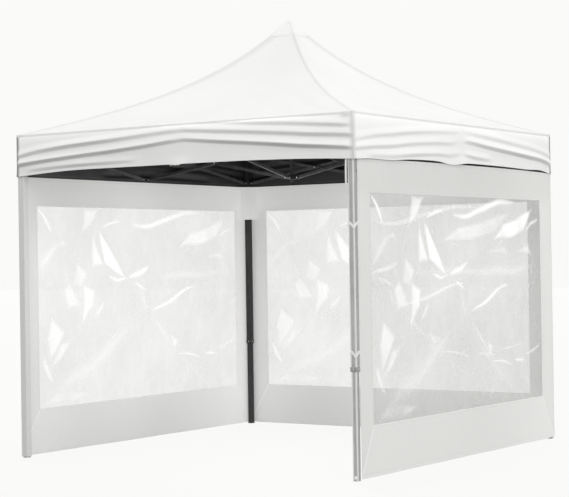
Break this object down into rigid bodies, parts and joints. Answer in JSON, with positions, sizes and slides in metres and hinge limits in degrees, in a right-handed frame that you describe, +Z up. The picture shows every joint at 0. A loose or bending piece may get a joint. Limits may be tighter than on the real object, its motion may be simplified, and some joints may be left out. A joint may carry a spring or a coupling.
{
  "type": "gazebo tent",
  "caption": "Square pop-up gazebo tent with a pointed cover, straight valances, telescoping legs, a scissor truss and clear-window walls on three sides.",
  "frame": {"origin": "on the ground under the peak", "axes": "+Z up, the open front faces -Y, side walls at -X and +X, back wall at +Y"},
  "size_m": [3, 3, 3.342],
  "materials": {
    "cover_cloth": "white coated polyester outside, near-black coating inside",
    "wall_cloth": "pale grey-white coated polyester",
    "clear_film": "creased clear soft film",
    "leg_steel_bright": "silver-grey painted steel tube",
    "leg_steel_dark": "dark grey painted steel tube",
    "truss_steel": "grey painted flat steel",
    "black_plastic": "black moulded nylon"
  },
  "bodies": {
    "frame_and_cover": {"canopy": "cover_cloth", "leg_outer_front_right": "leg_steel_bright", "corner_bracket_front_right": "black_plastic", "slider_front_right": "black_plastic", "leg_outer_back_right": "leg_steel_dark", "corner_bracket_back_right": "black_plastic", "slider_back_right": "black_plastic", "leg_outer_back_left": "leg_steel_dark", "corner_bracket_back_left": "black_plastic", "slider_back_left": "black_plastic", "leg_outer_front_left": "leg_steel_bright", "corner_bracket_front_left": "black_plastic", "slider_front_left": "black_plastic", "middle_upper_front": "black_plastic", "middle_lower_front": "black_plastic", "front_bar_1": "truss_steel", "front_bar_2": "truss_steel", "front_bar_3": "truss_steel", "front_bar_4": "truss_steel", "front_arm_upper": "truss_steel", "front_arm_lower": "truss_steel", "middle_upper_right": "black_plastic", "middle_lower_right": "black_plastic", "right_bar_1": "truss_steel", "right_bar_2": "truss_steel", "right_bar_3": "truss_steel", "right_bar_4": "truss_steel", "right_arm_upper": "truss_steel", "right_arm_lower": "truss_steel", "middle_upper_back": "black_plastic", "middle_lower_back": "black_plastic", "back_bar_1": "truss_steel", "back_bar_2": "truss_steel", "back_bar_3": "truss_steel", "back_bar_4": "truss_steel", "back_arm_upper": "truss_steel", "back_arm_lower": "truss_steel", "middle_upper_left": "black_plastic", "middle_lower_left": "black_plastic", "left_bar_1": "truss_steel", "left_bar_2": "truss_steel", "left_bar_3": "truss_steel", "left_bar_4": "truss_steel", "left_arm_upper": "truss_steel", "left_arm_lower": "truss_steel", "mast": "black_plastic", "hub_lower": "black_plastic", "wall_left": "wall_cloth", "window_left": "clear_film", "wall_back": "wall_cloth", "window_back": "clear_film", "wall_right": "wall_cloth", "window_right": "clear_film"},
    "lower_leg_front_right": {"leg_inner_front_right": "leg_steel_bright"},
    "lower_leg_back_right": {"leg_inner_back_right": "leg_steel_dark"},
    "lower_leg_back_left": {"leg_inner_back_left": "leg_steel_dark"},
    "lower_leg_front_left": {"leg_inner_front_left": "leg_steel_bright"}
  },
  "joints": [
    {"name": "leg_slide_front_right", "type": "slide", "parent": "frame_and_cover", "child": "lower_leg_front_right", "axis": [0, 0, 1], "range_m": [0, 0.66]},
    {"name": "leg_slide_back_right", "type": "slide", "parent": "frame_and_cover", "child": "lower_leg_back_right", "axis": [0, 0, 1], "range_m": [0, 0.66]},
    {"name": "leg_slide_back_left", "type": "slide", "parent": "frame_and_cover", "child": "lower_leg_back_left", "axis": [0, 0, 1], "range_m": [0, 0.66]},
    {"name": "leg_slide_front_left", "type": "slide", "parent": "frame_and_cover", "child": "lower_leg_front_left", "axis": [0, 0, 1], "range_m": [0, 0.66]}
  ]
}
